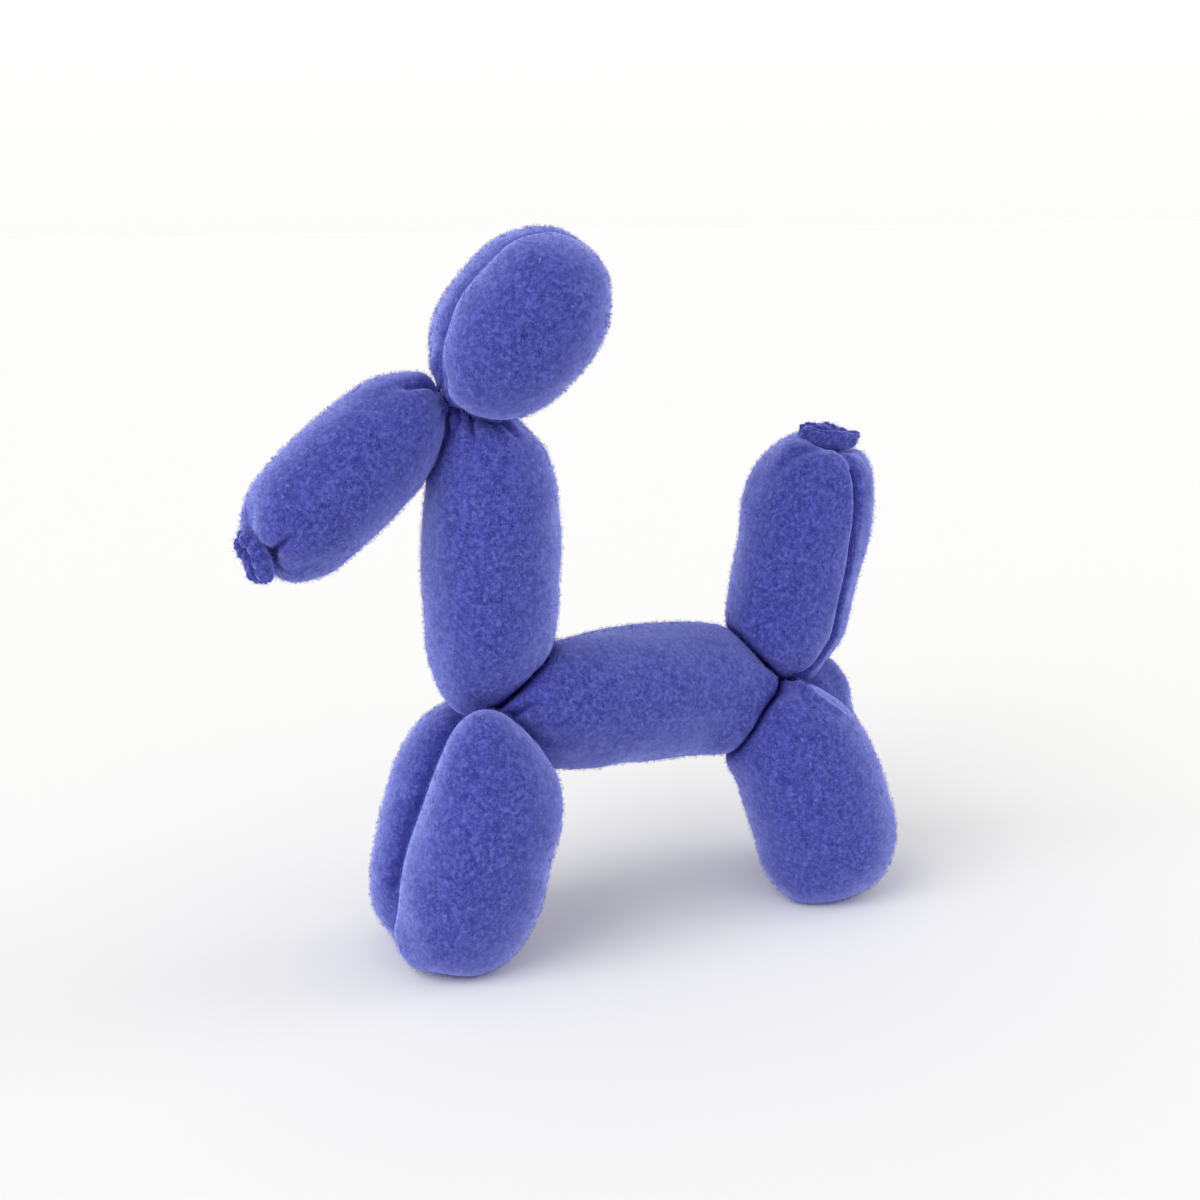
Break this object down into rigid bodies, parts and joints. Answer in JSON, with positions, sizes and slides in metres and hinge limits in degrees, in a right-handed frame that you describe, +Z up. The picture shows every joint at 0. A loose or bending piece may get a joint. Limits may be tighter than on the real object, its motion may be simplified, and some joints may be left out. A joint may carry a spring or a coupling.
{
  "type": "stuffed fleece balloon dog",
  "caption": "Soft toy in the shape of a twisted balloon dog, sewn from violet-blue fleece, stuffed and standing on its feet.",
  "frame": {"origin": "middle of the figure's length and width, on the plane its feet stand on", "axes": "+Z up, -X the way the dog faces, -Y its left side; Y is its shortest extent"},
  "size_m": [0.3792, 0.1368, 0.3768],
  "materials": {
    "fleece": "matt, fuzzy violet-blue fleece"
  },
  "bodies": {
    "root": {"balloon_dog": "fleece"}
  },
  "joints": []
}
